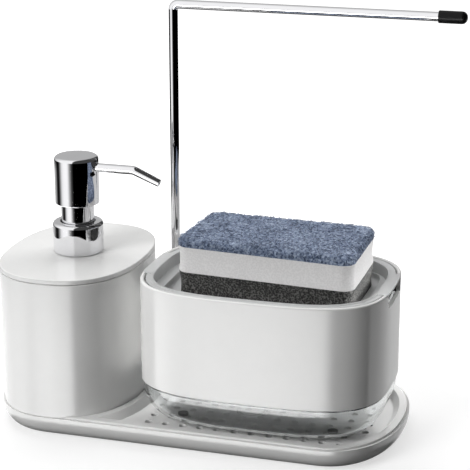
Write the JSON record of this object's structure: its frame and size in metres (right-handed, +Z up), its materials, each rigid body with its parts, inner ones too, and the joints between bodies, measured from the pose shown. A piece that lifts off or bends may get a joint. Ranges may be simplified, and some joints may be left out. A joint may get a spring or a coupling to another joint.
{
  "type": "soap pump caddy",
  "caption": "Sink-side caddy: oval soap bottle with a chromed push pump, a sponge holder on a drip tray, and a chromed cloth rail, all on one base.",
  "frame": {"origin": "centre of the bounding box on the surface that the rubber feet stand on", "axes": "+Z up; +X from the soap bottle to the sponge holder; +Y to the back, where the rail's arm is"},
  "size_m": [0.289, 0.1296, 0.2678],
  "materials": {
    "white_abs": "smooth gloss white moulding",
    "grey_rubber": "soft matt rubber pads",
    "soft_seal": "soft grey seal",
    "chrome": "bright chrome",
    "natural_plastic": "uncoloured plastic",
    "steel": "plain steel",
    "clear_plastic": "clear, with a polished surface",
    "frosted_plastic": "translucent, slightly frosted",
    "grey_foam": "fine open-cell foam",
    "white_foam": "fine open-cell foam",
    "blue_scourer": "matted scouring fibres",
    "black_rubber": "smooth rubber cap"
  },
  "bodies": {
    "base": {"base_tray": "white_abs", "base_feet": "grey_rubber"},
    "bottle": {"soap_bottle": "white_abs"},
    "lid": {"bottle_lid": "white_abs", "lid_seal": "soft_seal"},
    "pump": {"pump_housing": "natural_plastic", "stem_guide": "natural_plastic", "neck_sleeve": "chrome", "inlet_ball": "steel", "pump_spring": "steel", "dip_tube": "natural_plastic", "pump_gasket": "soft_seal"},
    "collar": {"pump_collar": "chrome"},
    "plunger": {"pump_stem": "natural_plastic", "pump_piston": "natural_plastic", "outlet_ball": "steel"},
    "head": {"pump_head": "chrome", "head_core": "natural_plastic", "spout_tube": "chrome"},
    "tray": {"drip_tray": "white_abs"},
    "holder": {"clear_cup": "clear_plastic", "cup_feet": "grey_rubber", "holder_sleeve": "white_abs"},
    "drainer": {"sponge_drainer": "frosted_plastic"},
    "sponge": {"grey_foam": "grey_foam", "white_foam": "white_foam", "scouring_pad": "blue_scourer"},
    "rail": {"cloth_rail": "chrome", "rail_cap": "black_rubber"}
  },
  "joints": [
    {"name": "bottle_lift", "type": "slide", "parent": "base", "child": "bottle", "axis": [0, 0, 1], "range_m": [0, 0.02]},
    {"name": "lid_lift", "type": "slide", "parent": "bottle", "child": "lid", "axis": [0, 0, 1], "range_m": [0, 0.1]},
    {"name": "pump_rise", "type": "slide", "parent": "lid", "child": "pump", "axis": [0, 0, 1], "range_m": [0, 0.0046]},
    {"name": "collar_turn", "type": "hinge", "parent": "pump", "child": "collar", "pos_m": [-0.0977, 0, 0.12], "axis": [0, 0, 1], "range_deg": [0, 540]},
    {"name": "head_press", "type": "slide", "parent": "pump", "child": "plunger", "axis": [0, 0, -1], "range_m": [0, 0.0115], "stiffness_N_per_m": 250, "springref_m": -0.01, "deforming": ["pump_spring"]},
    {"name": "head_swivel", "type": "hinge", "parent": "plunger", "child": "head", "pos_m": [-0.0977, 0, 0.165], "axis": [0, 0, 1], "continuous": true},
    {"name": "tray_lift", "type": "slide", "parent": "base", "child": "tray", "axis": [0, 0, 1], "range_m": [0, 0.008]},
    {"name": "holder_lift", "type": "slide", "parent": "tray", "child": "holder", "axis": [0, 0, 1], "range_m": [0, 0.03]},
    {"name": "drainer_lift", "type": "slide", "parent": "holder", "child": "drainer", "axis": [0, 0, 1], "range_m": [0, 0.025]},
    {"name": "sponge_lift", "type": "slide", "parent": "drainer", "child": "sponge", "axis": [0, 0, 1], "range_m": [0, 0.022]},
    {"name": "rail_lift", "type": "slide", "parent": "base", "child": "rail", "axis": [0, 0, 1], "range_m": [0, 0.02]}
  ],
  "couplings": [
    {"joint": "pump_rise", "follows": "collar_turn", "m_per_rad": 0.00047746}
  ]
}
